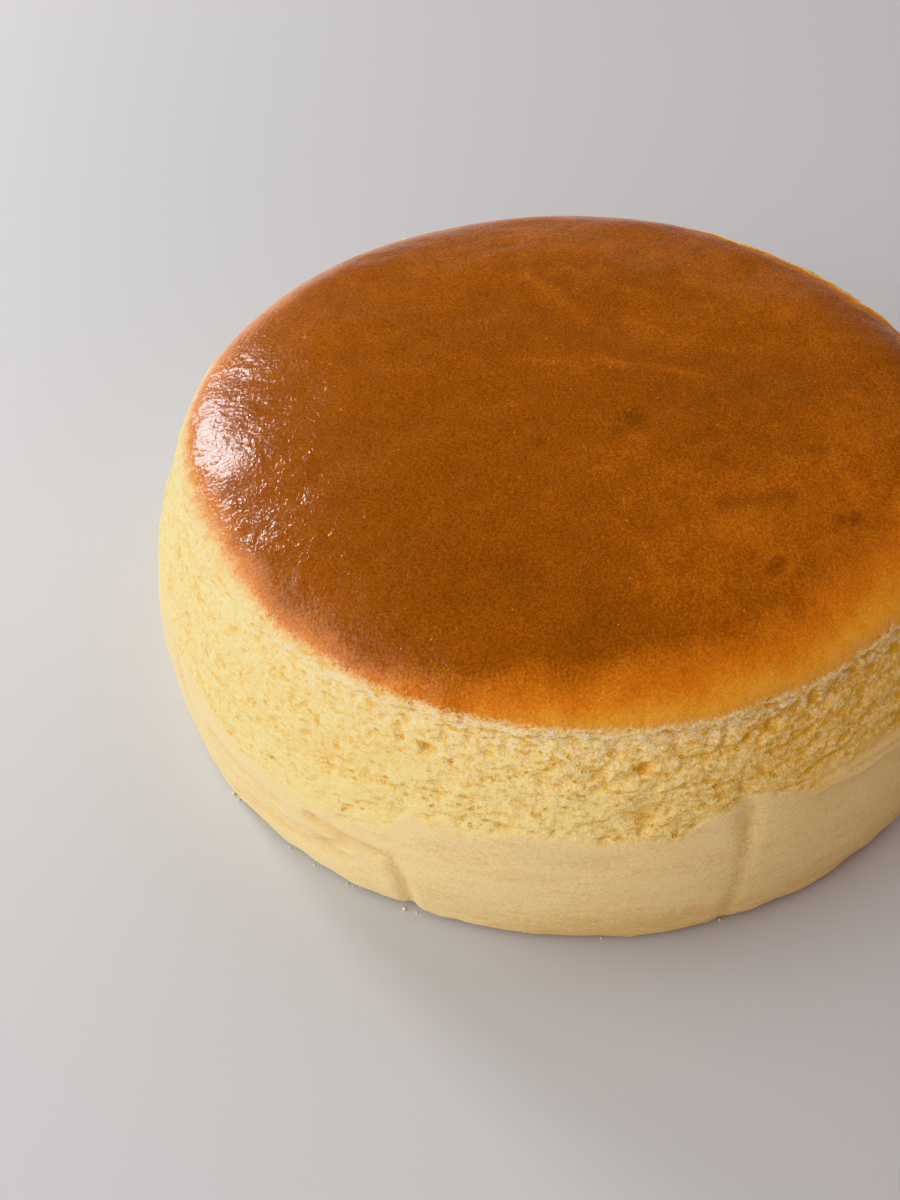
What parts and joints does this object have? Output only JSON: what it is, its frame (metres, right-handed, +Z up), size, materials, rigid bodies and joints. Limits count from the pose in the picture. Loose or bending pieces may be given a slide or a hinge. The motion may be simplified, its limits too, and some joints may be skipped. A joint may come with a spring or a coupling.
{
  "type": "cheesecake",
  "caption": "Whole round Japanese soufflé cheesecake with a browned, slightly domed top, torn sponge under its rim and a smooth lower side.",
  "frame": {"origin": "centre of the flat base, on the surface that the cake rests on", "axes": "+Z up through the middle of the cake, -Y towards the front, +X to the right seen from the front"},
  "size_m": [0.2048, 0.2055, 0.0776],
  "materials": {
    "cheesecake": "matte"
  },
  "bodies": {
    "root": {"cheesecake": "cheesecake"}
  },
  "joints": []
}
